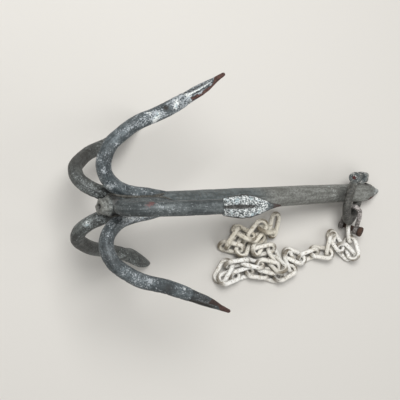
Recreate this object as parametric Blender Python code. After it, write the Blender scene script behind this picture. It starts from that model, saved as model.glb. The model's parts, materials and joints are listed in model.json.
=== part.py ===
"""Five-armed grapnel anchor with its bow shackle, small bolt shackle and a loose heap of short-link chain.

Lengths are metres, +Z up, the floor at z = 0, the shank along X with the crown at -X. The anchor
rests on the points of its two lower arms and on the tip of its shank.
"""

import math

import bmesh
import bpy
import numpy as np
from mathutils import Matrix, Quaternion, Vector

for old in list(bpy.data.objects):
    bpy.data.objects.remove(old, do_unlink=True)

MM = 0.001
ORIGIN = Vector((0.23856, -0.00954, -0.0001))  # of the shank's tip, so that the box is centred on the frame

# shank: stations (distance from the tip, half width, half height, squareness)
SHANK_TILT = 18.85  # degrees, crown up
SHANK_TIP_Z = 0.0030
SHANK = [
    (0.0, 1.8, 1.7, 2.0),
    (-5.0, 3.9, 3.7, 2.0),
    (-15.0, 8.6, 8.2, 2.3),
    (-24.0, 11.4, 11.2, 2.8),
    (-33.0, 12.9, 12.8, 3.2),
    (-54.0, 12.9, 12.8, 3.2),
    (-64.0, 12.5, 12.3, 2.2),
    (-110.0, 12.9, 12.9, 2.0),
    (-250.0, 13.4, 13.4, 2.0),
    (-405.0, 13.6, 13.6, 2.0),
    (-436.0, 14.3, 14.3, 2.0),
    (-468.0, 14.4, 14.2, 2.0),
    (-476.0, 13.2, 12.9, 2.0),
    (-480.0, 10.2, 9.9, 2.0),
]
EYE_AT, EYE_R = -41.0, 7.4
BUTT_PIT_R, BUTT_PIT_DEPTH = 2.6, 3.5

# arms: centreline (along the shank, away from it), the same forging five times, each bent by hand
ARM_LINE = [(-376, 6.5), (-400, 9.2), (-420, 11.2), (-439, 13.8), (-456, 18.8), (-469.5, 27.3), (-478, 37.5),
            (-481, 49), (-478, 62), (-470, 73), (-445, 90), (-411, 102), (-373, 120), (-330, 143)]
ARM_R = 8.4
LAID = 46.0  # the length that lies along the shank, before an arm's own bend counts
ROOT_R, ROOT_LENGTH = 5.0, 40.0  # drawn down towards its end
LEAF = [(0.0, 0.9, 0.8), (0.07, 3.8, 1.6), (0.18, 7.3, 2.7), (0.34, 11.0, 3.8), (0.5, 13.3, 4.9), (0.68, 14.3, 5.8),
        (0.87, 12.4, 6.8), (1.0, 9.0, 7.7)]  # share of the fluke from its point, half width, half thickness
WORN_LEAF = [(0.0, 2.4, 2.1), (0.1, 3.2, 2.6), (0.25, 5.0, 3.4), (0.38, 8.2, 4.2), (0.52, 11.2, 5.0),
             (0.7, 12.8, 5.9), (0.87, 11.4, 6.8), (1.0, 9.0, 7.7)]
LONG_LEAF = [(0.0, 0.9, 0.8), (0.08, 2.4, 1.5), (0.16, 4.4, 2.2), (0.26, 7.6, 3.0), (0.38, 11.0, 3.9),
             (0.52, 13.2, 4.9), (0.67, 13.5, 5.8), (0.85, 11.7, 6.8), (1.0, 9.6, 7.7)]
GROOVE = [(0.38, 0.3, 0.4), (0.52, 1.8, 1.5), (0.72, 3.0, 2.2), (0.93, 2.2, 2.0), (1.05, 0.5, 0.5)]
ARMS = {  # name: (angle round the shank, how far its point is opened out, and swung round, slid along, leaf, length)
    "arm_port": (73.5, 13.0, 0.0, 0.0, WORN_LEAF, 60.0),
    "arm_rear_port": (143.0, 15.6, -6.5, 0.0, LEAF, 60.0),
    "arm_rear_starboard": (-143.6, 0.0, 0.0, 0.0, LEAF, 60.0),
    "arm_starboard": (-71.0, -5.0, 0.0, 0.0, WORN_LEAF, 60.0),
    "arm_top": (-1.5, -14.0, 0.0, 5.0, LONG_LEAF, 70.0),
}

# bow shackle through the shank's eye
BOW_BAR_R, BOW_HALF, BOW_ELEVATION = 5.9, 26.0, 44.0
BOW_EAR_UP, BOW_STRAIGHT_DOWN = 21.8, 11.5
FRONT_EAR_IN, REAR_EAR_OUT = 15.0, 3.4  # its legs are bent, both the same way
EAR_R, EAR_HALF = 7.9, 5.0
BOW_PIN_R = 3.4

# small shackle with its bolt
LITTLE_BOLT = (-55.9, -49.3, 14.8)  # middle of its bolt, from the shank's tip
LITTLE_BAR_R, LITTLE_HALF, LITTLE_LENGTH = 3.2, 10.8, 39.5
LITTLE_EAR_R, LITTLE_EAR_HALF = 6.8, 3.2
BOLT_R, BOLT_HEAD_R, BOLT_HEAD_H = 3.9, 7.4, 6.5

# chain
WIRE_R = 3.25
LINK_HALF_STRAIGHT = 8.6
LINK_BEND_R = 7.75
LINK_GAP = 0.45
# where each link takes hold of the next (mm from the shank's tip): the run, the heap and its free end
CHAIN = [
    (-56, -49, 15), (-52, -72, 8), (-50, -96, 5), (-66, -73, 5), (-82, -64, 19), (-83, -86, 8),
    (-109, -82, 7), (-131, -91, 8), (-153, -84, 17), (-143, -105, 15), (-166, -116, 8), (-187, -106, 7),
    (-209, -103, 7), (-231, -108, 7), (-251, -112, 7), (-242, -92, 10), (-219, -86, 14), (-199, -97, 19),
    (-178, -101, 21), (-160, -89, 9), (-181, -80, 12), (-203, -73, 14), (-190, -58, 6), (-211, -62, 6),
    (-226, -78, 7), (-242, -65, 12), (-228, -46, 12), (-208, -57, 19), (-196, -42, 14), (-175, -52, 8),
    (-165, -32, 6),
]
CHAIN_ROLL = [-45, 25, -60, 30, -50]  # of the first links; the rest lie at forty-five either way


def material(name, colour, metallic, roughness):
    made = bpy.data.materials.new(name)
    made.use_nodes = True
    shader = made.node_tree.nodes["Principled BSDF"]
    shader.inputs["Base Color"].default_value = (*colour, 1.0)
    shader.inputs["Metallic"].default_value = metallic
    shader.inputs["Roughness"].default_value = roughness
    return made


def add_object(name, verts, faces, look):
    mesh = bpy.data.meshes.new(name)
    mesh.from_pydata([tuple(v) for v in verts], [], faces)
    mesh.materials.append(look)
    made = bpy.data.objects.new(name, mesh)
    bpy.context.scene.collection.objects.link(made)
    shell = bmesh.new()
    shell.from_mesh(mesh)
    bmesh.ops.recalc_face_normals(shell, faces=shell.faces)
    shell.to_mesh(mesh)
    shell.free()
    return made


def skin(rings, loop=False):
    """Vertices and faces of a tube through equal rings of points, capped unless it closes on itself."""
    count, sides = len(rings), len(rings[0])
    verts = [point for ring in rings for point in ring]
    faces = []
    for i in range(count if loop else count - 1):
        one, two = i * sides, (i + 1) % count * sides
        for k in range(sides):
            j = (k + 1) % sides
            faces.append((one + k, one + j, two + j, two + k))
    if not loop:
        faces.append(tuple(range(sides - 1, -1, -1)))
        faces.append(tuple(range((count - 1) * sides, count * sides)))
    return verts, faces


def oval(centre, across, up, half_width, half_height, sides, square=2.0):
    """A ring of points; square above 2 flattens its four sides."""
    ring = []
    for k in range(sides):
        turn = 2 * math.pi * (k + 0.5) / sides
        c, s = math.cos(turn), math.sin(turn)
        x = math.copysign(abs(c) ** (2 / square), c) * half_width
        y = math.copysign(abs(s) ** (2 / square), s) * half_height
        ring.append(centre + across * x + up * y)
    return ring


def tube(points, radii, sides, normal):
    """Rings round a line that stays in the plane with this normal."""
    rings = []
    for i, point in enumerate(points):
        ahead = points[min(i + 1, len(points) - 1)] - points[max(i - 1, 0)]
        side = normal.cross(ahead).normalized()
        rings.append(oval(point, normal, side, radii[i], radii[i], sides))
    return rings


def cut(target, verts, faces):
    """Takes a closed shape away from the target."""
    cutter = add_object("cutter", verts, faces, target.data.materials[0])
    change = target.modifiers.new("cut", "BOOLEAN")
    change.operation, change.solver, change.object = "DIFFERENCE", "EXACT", cutter
    graph = bpy.context.evaluated_depsgraph_get()
    done = bpy.data.meshes.new_from_object(target.evaluated_get(graph))
    target.modifiers.clear()
    target.data = done
    bpy.data.objects.remove(cutter, do_unlink=True)


def join(target, verts, faces):
    """Fuses a closed shape to the target."""
    other = add_object("joined", verts, faces, target.data.materials[0])
    change = target.modifiers.new("join", "BOOLEAN")
    change.operation, change.solver, change.object = "UNION", "EXACT", other
    graph = bpy.context.evaluated_depsgraph_get()
    done = bpy.data.meshes.new_from_object(target.evaluated_get(graph))
    target.modifiers.clear()
    target.data = done
    bpy.data.objects.remove(other, do_unlink=True)


def rod(start, end, radius, sides=16):
    """A plain round rod between two points."""
    along = (end - start).normalized()
    across = along.orthogonal().normalized()
    up = along.cross(across)
    return skin([oval(p, across, up, radius, radius, sides) for p in (start, end)])


def spline(knots, steps):
    """A Catmull-Rom curve through the knots, with this many steps between each two."""
    knots = [np.array(k, float) for k in knots]
    ends = [2 * knots[0] - knots[1]] + knots + [2 * knots[-1] - knots[-2]]
    line = []
    for i in range(1, len(ends) - 2):
        a, b, c, d = ends[i - 1 : i + 3]
        for t in np.arange(steps) / steps:
            line.append(0.5 * (2 * b + (c - a) * t + (2 * a - 5 * b + 4 * c - d) * t**2 + (3 * b - a - 3 * c + d) * t**3))
    return line + [knots[-1]]


galvanised = material("galvanised_steel", (0.30, 0.31, 0.31), 0.7, 0.55)
rusted = material("rusted_steel", (0.13, 0.055, 0.03), 0.3, 0.85)
coated = material("aged_white_coating", (0.72, 0.68, 0.58), 0.0, 0.7)

TILT = Matrix.Rotation(math.radians(SHANK_TILT), 3, "Y")
TIP = ORIGIN + Vector((0, 0, SHANK_TIP_Z))


def on_anchor(along, out, angle=0.0):
    """World place of a point given along the shank and away from it (mm), at an angle round it."""
    turn = math.radians(angle)
    return TIP + TILT @ Vector((along, out * math.sin(turn), out * math.cos(turn))) * MM


# shank
along, across, up = TILT @ Vector((1, 0, 0)), Vector((0, 1, 0)), TILT @ Vector((0, 0, 1))
shank = add_object(
    "shank",
    *skin([oval(on_anchor(a, 0), across, up, w * MM, h * MM, 20, q) for a, w, h, q in SHANK]),
    galvanised,
)
butt = SHANK[-1][0]
cut(shank, *rod(on_anchor(butt - 2, 2), on_anchor(butt + BUTT_PIT_DEPTH, 2), BUTT_PIT_R * MM, 8))

# bow shackle: the rear leg passes through the eye, the front leg lies over the shank
lean = math.radians(BOW_ELEVATION)
bow_x = Vector((-math.cos(lean), 0, math.sin(lean)))  # from the rear leg to the front one
bow_y = Vector((0.17, 0.97, 0.09)).normalized()  # towards its ears
bow_z = bow_x.cross(bow_y)
eye = on_anchor(EYE_AT, 0)
cut(shank, *rod(eye - bow_y * 0.03, eye + bow_y * 0.03, EYE_R * MM, 16))


def on_bow(x, y, z=0.0):
    return eye + (bow_x * (BOW_HALF + x) + bow_y * y + bow_z * z) * MM


bend = [math.radians(d) for d in np.linspace(0, 180, 13)]
front_ear, rear_ear = BOW_HALF - FRONT_EAR_IN, BOW_HALF + REAR_EAR_OUT
bow_line = [on_bow(BOW_HALF - x, y) for x, y in ((FRONT_EAR_IN, BOW_EAR_UP), (12.5, 14), (7, 4), (2, -5))]
bow_line += [on_bow(BOW_HALF * math.cos(d), -BOW_STRAIGHT_DOWN - BOW_HALF * math.sin(d)) for d in bend]
bow_line += [on_bow(-BOW_HALF, 13), on_bow(-rear_ear, BOW_EAR_UP)]
bow = add_object("bow_shackle", *skin(tube(bow_line, [BOW_BAR_R * MM] * len(bow_line), 10, bow_z)), galvanised)
for leg in (-rear_ear, front_ear):
    join(bow, *rod(on_bow(leg - EAR_HALF, BOW_EAR_UP), on_bow(leg + EAR_HALF, BOW_EAR_UP), EAR_R * MM, 16))
reach = [on_bow(-rear_ear - EAR_HALF - 3, BOW_EAR_UP), on_bow(front_ear + EAR_HALF + 3, BOW_EAR_UP)]
cut(bow, *rod(*reach, (BOW_PIN_R + 0.3) * MM, 14))
reach = [on_bow(-rear_ear - EAR_HALF - 0.4, BOW_EAR_UP), on_bow(front_ear + EAR_HALF + 0.4, BOW_EAR_UP)]
add_object("bow_shackle_pin", *rod(*reach, BOW_PIN_R * MM, 14), rusted)

# small shackle round the lower part of the bow
little_y = Vector((-0.123, 0.77, 0.626)).normalized()  # towards its bend
little_z = Vector((0.672, -0.399, 0.623)).cross(little_y).normalized()
little_x = little_y.cross(little_z)  # along its bolt, towards the head
bolt_at = ORIGIN + Vector(LITTLE_BOLT) * MM


def on_little(x, y, z=0.0):
    return bolt_at + (little_x * x + little_y * y + little_z * z) * MM


high = LITTLE_LENGTH - LITTLE_HALF
little_line = [on_little(-LITTLE_HALF, 0), on_little(-LITTLE_HALF, 9)]
little_line += [on_little(-LITTLE_HALF * math.cos(d), high + LITTLE_HALF * math.sin(d)) for d in bend[::2]]
little_line += [on_little(LITTLE_HALF, 9), on_little(LITTLE_HALF, 0)]
little = add_object("small_shackle", *skin(tube(little_line, [LITTLE_BAR_R * MM] * 11, 8, little_z)), galvanised)
for side in (-1, 1):
    reach = [on_little(side * (LITTLE_HALF + d * LITTLE_EAR_HALF), 0) for d in (-1, 1)]
    join(little, *rod(*reach, LITTLE_EAR_R * MM, 12))
cut(little, *rod(on_little(-25, 0), on_little(25, 0), (BOLT_R + 0.3) * MM, 12))
bolt = add_object("small_shackle_bolt", *rod(on_little(-LITTLE_HALF - 4.2, 0), on_little(LITTLE_HALF + 6, 0), BOLT_R * MM, 12), rusted)
head = LITTLE_HALF + LITTLE_EAR_HALF + 0.4
join(bolt, *rod(on_little(head, 0), on_little(head + BOLT_HEAD_H, 0), BOLT_HEAD_R * MM, 6))

# arms: a round bar welded to the crown, swept back, out and forward, then forged to a leaf point
def arm_frame(s, step, flat, angle, opened, swung, slid):
    """Place, direction, across and outward of the arm's centreline at a length along it."""
    total = step[-1]
    spots = []
    for near in (s - 1.5, s, s + 1.5):
        a, r = [float(np.interp(near, step, [p[k] for p in flat])) for k in (0, 1)]
        share = (min(max(near - LAID, 0.0), total - LAID) / (total - LAID)) ** 1.5
        spots.append(on_anchor(a + slid, r + opened * share, angle + swung * share))
    turn = math.radians(angle + swung * (max(s - LAID, 0.0) / (total - LAID)) ** 1.5)
    wide = TILT @ Vector((0, math.cos(turn), -math.sin(turn)))
    ahead = (spots[2] - spots[0]).normalized()
    return spots[1], ahead, wide, ahead.cross(wide).normalized()


for name, (angle, opened, swung, slid, leaf, long) in ARMS.items():
    flat, bent = spline(ARM_LINE, 2), (angle, opened, swung, slid)
    step = [0.0]
    for one, two in zip(flat, flat[1:]):
        step.append(step[-1] + float(np.linalg.norm(two - one)))
    total = step[-1]
    rings = []
    for s in [s for s in step if s < total - long - 4]:
        place, ahead, wide, outward = arm_frame(s, step, flat, *bent)
        radius = (ROOT_R + (ARM_R - ROOT_R) * min(1.0, s / ROOT_LENGTH)) * MM
        rings.append(oval(place, wide, outward, radius, radius, 12))
    for share, half_width, half_thick in reversed(leaf):
        place, ahead, wide, outward = arm_frame(total - share * long, step, flat, *bent)
        rings.append(oval(place, wide, outward, half_width * MM, half_thick * MM, 12, 1.45 if share < 0.9 else 1.8))
    arm = add_object(name, *skin(rings), galvanised)
    cope = [oval(on_anchor(a, 0), across, up, 14.75 * MM, 14.75 * MM, 40) for a in (-520, -360)]
    cut(arm, *skin(cope))
    groove = []
    for share, half_width, depth in GROOVE:
        place, ahead, wide, outward = arm_frame(total - share * long, step, flat, *bent)
        face = float(np.interp(share, [row[0] for row in leaf], [row[2] for row in leaf])) * 0.93
        groove.append([place + wide * half_width * MM + outward * (face + 3) * MM,
                       place + outward * (face - depth) * MM,
                       place - wide * half_width * MM + outward * (face + 3) * MM])
    cut(arm, *skin(groove))

# chain: every link starts stretched between two holds, then the whole is let down and pushed clear
bends = [math.radians(d) for d in np.linspace(-90, 90, 7)]
front = [(LINK_HALF_STRAIGHT + LINK_BEND_R * math.cos(d), LINK_BEND_R * math.sin(d)) for d in bends]
LINK_LINE = [Vector((x, y, 0)) for x, y in front] + [Vector((-x, -y, 0)) for x, y in front]


def laid_links():
    """Centre and turn of each link before it settles, in mm."""
    holds = [Vector(p) for p in CHAIN]
    centres, turns = [], []
    for i, (one, two) in enumerate(zip(holds, holds[1:])):
        ahead = (two - one).normalized()
        level = Vector((0, 0, 1)).cross(ahead).normalized()
        roll = CHAIN_ROLL[i] if i < len(CHAIN_ROLL) else (45 if i % 2 else -45) + 12 * math.sin(i * 2.3)
        side = Matrix.Rotation(math.radians(roll), 3, ahead) @ level
        frame = Matrix((ahead, side, ahead.cross(side))).transposed()
        centres.append((one + two) / 2)
        turns.append(frame.to_quaternion())
    return centres, turns


def settle(centres, turns, rounds=900):
    """Lets the links down to the floor and pushes apart wires that come nearer than their thickness."""
    line = [p for a, b in zip(LINK_LINE, LINK_LINE[1:] + LINK_LINE[:1])
            for p in [a.lerp(b, t) for t in np.linspace(0, 1, max(2, round((b - a).length / 2.0)), endpoint=False)]]
    local = np.array([tuple(p) for p in line])
    place = np.array([tuple(c) for c in centres])
    start = place.copy()
    turn = np.array([np.array(q.to_matrix()) for q in turns])
    fixed = [(on_little(x, 0), BOLT_R) for x in np.linspace(-14, 14, 15)]
    fixed += [(a.lerp(b, t), LITTLE_BAR_R) for a, b in zip(little_line, little_line[1:]) for t in (0, 0.33, 0.67)]
    fixed += [(a.lerp(b, t), BOW_BAR_R) for a, b in zip(bow_line, bow_line[1:]) for t in (0, 0.5)]
    rim = LITTLE_EAR_R - LITTLE_EAR_HALF
    fixed += [(on_little(side * LITTLE_HALF, rim * math.sin(t), rim * math.cos(t)), LITTLE_EAR_HALF + 0.4)
              for side in (-1, 1) for t in np.linspace(0, 2 * math.pi, 12)]
    bar = np.array([tuple((spot - ORIGIN) / MM) for spot, _ in fixed])
    clear = np.array([radius for _, radius in fixed]) + WIRE_R + LINK_GAP
    keep = 2 * WIRE_R + LINK_GAP
    for round_no in range(rounds):
        world = np.einsum("nij,pj->npi", turn, local) + place[:, None]
        push, twist, hits = np.zeros_like(place), np.zeros_like(place), np.ones(len(place))
        near = np.argwhere(np.triu(np.linalg.norm(place[:, None] - place[None], axis=2) < 38, 1))
        for i, j in near:
            apart = world[i][:, None] - world[j][None]
            reach = np.linalg.norm(apart, axis=2)
            a, b = np.nonzero(reach < keep)
            if len(a) == 0:
                continue
            way = apart[a, b] / reach[a, b][:, None] * (keep - reach[a, b])[:, None] / 2
            for k, points, sign in ((i, world[i][a], 1), (j, world[j][b], -1)):
                push[k] += sign * way.sum(0)
                twist[k] += sign * np.cross(points - place[k], way).sum(0)
                hits[k] += len(a)
        for k in range(6):
            apart = world[k][:, None] - bar[None]
            reach = np.linalg.norm(apart, axis=2)
            a, b = np.nonzero(reach < clear)
            if len(a):
                way = apart[a, b] / reach[a, b][:, None] * (clear[b] - reach[a, b])[:, None]
                push[k] += way.sum(0)
                twist[k] += np.cross(world[k][a] - place[k], way).sum(0)
                hits[k] += len(a)
        under = np.clip(WIRE_R + 0.2 - world[:, :, 2], 0, None)
        lift = np.zeros_like(world)
        lift[:, :, 2] = under
        push += lift.sum(1)
        twist += np.cross(world - place[:, None], lift).sum(1)
        hits += (under > 0).sum(1)
        falling = 0.1 if round_no < rounds * 0.5 else 0.0
        place += np.clip(push / hits[:, None] * 1.6, -0.8, 0.8) + [0, 0, -falling]
        place[:, :2] += (start[:, :2] - place[:, :2]) * (0.02 if falling else 0.0)
        angle = np.clip(twist / hits[:, None] / 60.0, -0.05, 0.05)
        for k in range(len(place)):
            size = float(np.linalg.norm(angle[k]))
            if size > 1e-9:
                spin = Quaternion(Vector(angle[k]), size).to_matrix()
                turn[k] = np.array(spin) @ turn[k]
    return place, turn


places, turns = settle(*laid_links())
rings = []
for i, point in enumerate(LINK_LINE):
    ahead = LINK_LINE[(i + 1) % len(LINK_LINE)] - LINK_LINE[i - 1]
    outward = ahead.cross(Vector((0, 0, 1))).normalized()
    rings.append(oval(point * MM, Vector((0, 0, 1)), outward, WIRE_R * MM, WIRE_R * MM, 6))
link_shape = skin(rings, loop=True)
for number, (place, turn) in enumerate(zip(places, turns), 1):
    link = add_object(f"chain_link_{number:02d}", *link_shape, coated)
    link.location = ORIGIN + Vector(place) * MM
    link.rotation_mode = "QUATERNION"
    link.rotation_quaternion = Matrix(turn.tolist()).to_quaternion()
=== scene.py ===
"""Weathered five-armed grapnel with bow shackle, bolt shackle and white-coated chain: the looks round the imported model.

Every metal piece is a numpy surface: a section carried along a path, or a profile turned round an axis. The shank,
arms and shackles repeat the named sizes of the solids; each chain link is laid in the frame of its own solid.
"""

import functools
import json
import math

import bpy
import numpy as np
from mathutils import Matrix, Vector


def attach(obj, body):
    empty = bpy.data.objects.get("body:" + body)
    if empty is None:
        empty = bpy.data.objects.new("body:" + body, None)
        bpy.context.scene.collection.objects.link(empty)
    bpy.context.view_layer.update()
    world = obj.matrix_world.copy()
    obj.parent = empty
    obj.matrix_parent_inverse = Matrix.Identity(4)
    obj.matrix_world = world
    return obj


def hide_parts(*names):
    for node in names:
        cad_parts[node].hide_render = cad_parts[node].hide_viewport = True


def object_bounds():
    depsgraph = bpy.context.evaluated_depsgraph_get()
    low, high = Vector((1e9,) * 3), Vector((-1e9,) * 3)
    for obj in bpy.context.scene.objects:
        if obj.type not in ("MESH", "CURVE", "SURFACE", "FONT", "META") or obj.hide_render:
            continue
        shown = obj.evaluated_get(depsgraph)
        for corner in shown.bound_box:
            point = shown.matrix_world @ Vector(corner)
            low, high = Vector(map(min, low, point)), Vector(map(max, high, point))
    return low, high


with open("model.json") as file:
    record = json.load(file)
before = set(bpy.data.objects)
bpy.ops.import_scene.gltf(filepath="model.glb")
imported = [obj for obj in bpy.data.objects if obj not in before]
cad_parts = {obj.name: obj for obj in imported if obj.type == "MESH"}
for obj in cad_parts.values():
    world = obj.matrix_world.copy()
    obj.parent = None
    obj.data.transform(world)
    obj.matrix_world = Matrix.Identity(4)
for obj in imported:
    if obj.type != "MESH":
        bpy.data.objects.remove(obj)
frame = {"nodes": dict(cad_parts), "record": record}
cad_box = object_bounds()

MM = 0.001
FINE = 1.0  # share of the full number of steps in every surface

# sizes in millimetres: the solids have the same, but for the finer ones of knob, thread and wear
ORIGIN = np.array((0.23856, -0.00954, -0.0001))  # of the shank's tip, in metres
SHANK_TILT = math.radians(18.85)
TIP = ORIGIN + (0, 0, 0.0030)
ALONG = np.array((math.cos(SHANK_TILT), 0, -math.sin(SHANK_TILT)))
SIDE = np.array((0.0, 1.0, 0.0))
UP = np.array((math.sin(SHANK_TILT), 0, math.cos(SHANK_TILT)))
SHANK = np.array([
    (0.0, 1.8, 1.7, 2.0), (-5.0, 3.9, 3.7, 2.0), (-15.0, 8.6, 8.2, 2.3), (-24.0, 11.4, 11.2, 2.8),
    (-33.0, 12.9, 12.8, 3.2), (-54.0, 12.9, 12.8, 3.2), (-64.0, 12.5, 12.3, 2.2), (-110.0, 12.9, 12.9, 2.0),
    (-250.0, 13.4, 13.4, 2.0), (-405.0, 13.6, 13.6, 2.0), (-436.0, 14.3, 14.3, 2.0), (-468.0, 14.4, 14.2, 2.0),
    (-476.0, 13.2, 12.9, 2.0), (-480.0, 10.2, 9.9, 2.0),
])  # along, half width, half height, squareness
EYE_AT, EYE_R = -41.0, 7.4
KNOB_AT, KNOB_DEPTH, NECK = -472.6, 6.8, 0.25  # the knob's start, its length, and how far it is necked before it
ARM_LINE = [(-376, 6.5), (-400, 9.2), (-420, 11.2), (-439, 13.8), (-456, 18.8), (-469.5, 27.3), (-478, 37.5),
            (-481, 49), (-478, 62), (-470, 73), (-445, 90), (-411, 102), (-373, 120), (-330, 143)]
ARM_R, ROOT_R, ROOT_LENGTH, LAID = 8.4, 5.0, 40.0, 46.0
CROTCH_AT, BEAD_RUN, WELDED_SHANK_R = -462.5, 68.0, 14.0
# leaves: share of the fluke from its point, half width, half thickness
LEAF = np.array([(0.0, 0.9, 0.8), (0.07, 3.8, 1.6), (0.18, 7.3, 2.7), (0.34, 11.0, 3.8), (0.5, 13.3, 4.9),
                 (0.68, 14.3, 5.8), (0.87, 12.4, 6.8), (1.0, 9.0, 7.7)])
WORN_LEAF = np.array([(0.0, 2.4, 2.1), (0.1, 3.2, 2.6), (0.25, 5.0, 3.4), (0.38, 8.2, 4.2), (0.52, 11.2, 5.0),
                      (0.7, 12.8, 5.9), (0.87, 11.4, 6.8), (1.0, 9.0, 7.7)])
LONG_LEAF = np.array([(0.0, 0.9, 0.8), (0.08, 2.4, 1.5), (0.16, 4.4, 2.2), (0.26, 7.6, 3.0), (0.38, 11.0, 3.9),
                      (0.52, 13.2, 4.9), (0.67, 13.5, 5.8), (0.85, 11.7, 6.8), (1.0, 9.6, 7.7)])
GROOVE = np.array([(0.3, 0.0, 0.0), (0.38, 0.6, 0.4), (0.52, 1.8, 1.5), (0.72, 3.0, 2.2), (0.93, 2.2, 2.0),
                   (1.05, 0.5, 0.3), (1.1, 0.0, 0.0)])  # the same share, half width, depth
ARMS = {  # angle round the shank, opened out, swung round, slid along, leaf and its length
    "arm_port": (73.5, 13.0, 0.0, 0.0, WORN_LEAF, 60.0),
    "arm_rear_port": (143.0, 15.6, -6.5, 0.0, LEAF, 60.0),
    "arm_rear_starboard": (-143.6, 0.0, 0.0, 0.0, LEAF, 60.0),
    "arm_starboard": (-71.0, -5.0, 0.0, 0.0, WORN_LEAF, 60.0),
    "arm_top": (-1.5, -14.0, 0.0, 5.0, LONG_LEAF, 70.0),
}
BOW_BAR_R, BOW_HALF, BOW_ELEVATION = 5.9, 26.0, math.radians(44.0)
BOW_EAR_UP, BOW_STRAIGHT_DOWN, FRONT_EAR_IN, REAR_EAR_OUT = 21.8, 11.5, 15.0, 3.4
EAR_R, EAR_HALF, WORN_PIN_R = 7.9, 5.0, 2.9
LITTLE_BOLT = np.array((-55.9, -49.3, 14.8))
LITTLE_BAR_R, LITTLE_HALF, LITTLE_LENGTH, LITTLE_EAR_R, LITTLE_EAR_HALF = 3.2, 10.8, 39.5, 6.8, 3.2
BOLT_R, BOLT_HEAD_R, BOLT_HEAD_H, THREAD_PITCH, THREAD_DEPTH = 3.9, 7.4, 6.5, 1.25, 0.45
WIRE_R, LINK_HALF_STRAIGHT, LINK_BEND_R = 3.25, 8.6, 7.75


# ---- shapes ----------------------------------------------------------------------------------------------------------


def unit(v):
    """Each vector divided by its length."""
    return v / np.maximum(np.linalg.norm(v, axis=-1, keepdims=True), 1e-12)


def smooth_step(low, high, x):
    """0 below low, 1 above high, and 3t^2 - 2t^3 between."""
    t = np.clip((x - low) / (high - low), 0, 1)
    return t * t * (3 - 2 * t)


def bell(x, middle, width):
    """1 at the middle, and exp(-t^2) at t widths from it."""
    return np.exp(-(((x - middle) / width) ** 2))


def value_noise(points, size, seed):
    """Hashed values in -1..1 at the corners of a cubic lattice with this edge (m), blended with a quintic fade."""
    q = points / size + 57.0
    cell = np.floor(q).astype(np.int64)
    f = q - cell
    f = f**3 * (f * (f * 6 - 15) + 10)
    total = np.zeros(points.shape[:-1])
    for corner in np.ndindex(2, 2, 2):
        c = cell + corner
        h = c[..., 0] * 73856093 ^ c[..., 1] * 19349663 ^ c[..., 2] * 83492791 ^ (seed * 26544357 + 1013)
        h = ((h ^ (h >> 13)) * 1274126177) & 0x7FFFFFFF
        h = ((h ^ (h >> 15)) * 971215073) & 0x7FFFFFFF
        total += h / 0x7FFFFFFF * np.prod(np.where(corner, f, 1 - f), axis=-1)
    return 2 * total - 1


def catmull(knots, steps):
    """Catmull-Rom curve through the knots: a cubic in t between each two, its ends mirrored."""
    k = np.asarray(knots, float)
    k = np.concatenate([[2 * k[0] - k[1]], k, [2 * k[-1] - k[-2]]])
    a, b, c, d = (k[i : len(k) - 3 + i, None] for i in range(4))
    t = (np.arange(steps) / steps)[None, :, None]
    line = 0.5 * (2 * b + (c - a) * t + (2 * a - 5 * b + 4 * c - d) * t**2 + (3 * b - a - 3 * c + d) * t**3)
    return np.concatenate([line.reshape(-1, k.shape[1]), k[-2:-1]])


def even(line, count):
    """The same line with points at equal steps of its length."""
    reach = np.concatenate([[0], np.cumsum(np.linalg.norm(np.diff(line, axis=0), axis=1))])
    want = np.linspace(0, reach[-1], count)
    return np.stack([np.interp(want, reach, line[:, i]) for i in range(line.shape[1])], axis=1)


def round_section(sides, square=2.0):
    """x and y of a closed section: cosine and sine to the power 2 / square, which is a circle at 2."""
    turn = 2 * np.pi * np.arange(sides) / sides
    c, s = np.cos(turn), np.sin(turn)
    square = np.asarray(square, float)[..., None]
    return np.sign(c) * np.abs(c) ** (2 / square), np.sign(s) * np.abs(s) ** (2 / square)


def swept(path, across, outward, x, y):
    """Grid of points: each path point plus x times its across vector and y times its outward vector."""
    return path[:, None] + across[:, None] * x[..., None] + outward[:, None] * y[..., None]


def turned(centre, axis, start, along, radius, sides):
    """Grid of points of a profile (distance along the axis, radius) turned round the axis; the radius may vary with
    the angle."""
    axis = unit(np.asarray(axis, float))
    start = unit(start - axis * np.dot(start, axis))
    side = np.cross(axis, start)
    turn = 2 * np.pi * np.arange(sides) / sides
    ray = start * np.cos(turn)[:, None] + side * np.sin(turn)[:, None]
    radius = np.asarray(radius, float)
    radius = radius[:, None] if radius.ndim == 1 else radius
    return centre + axis * np.asarray(along, float)[:, None, None] + ray[None] * radius[..., None]


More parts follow.
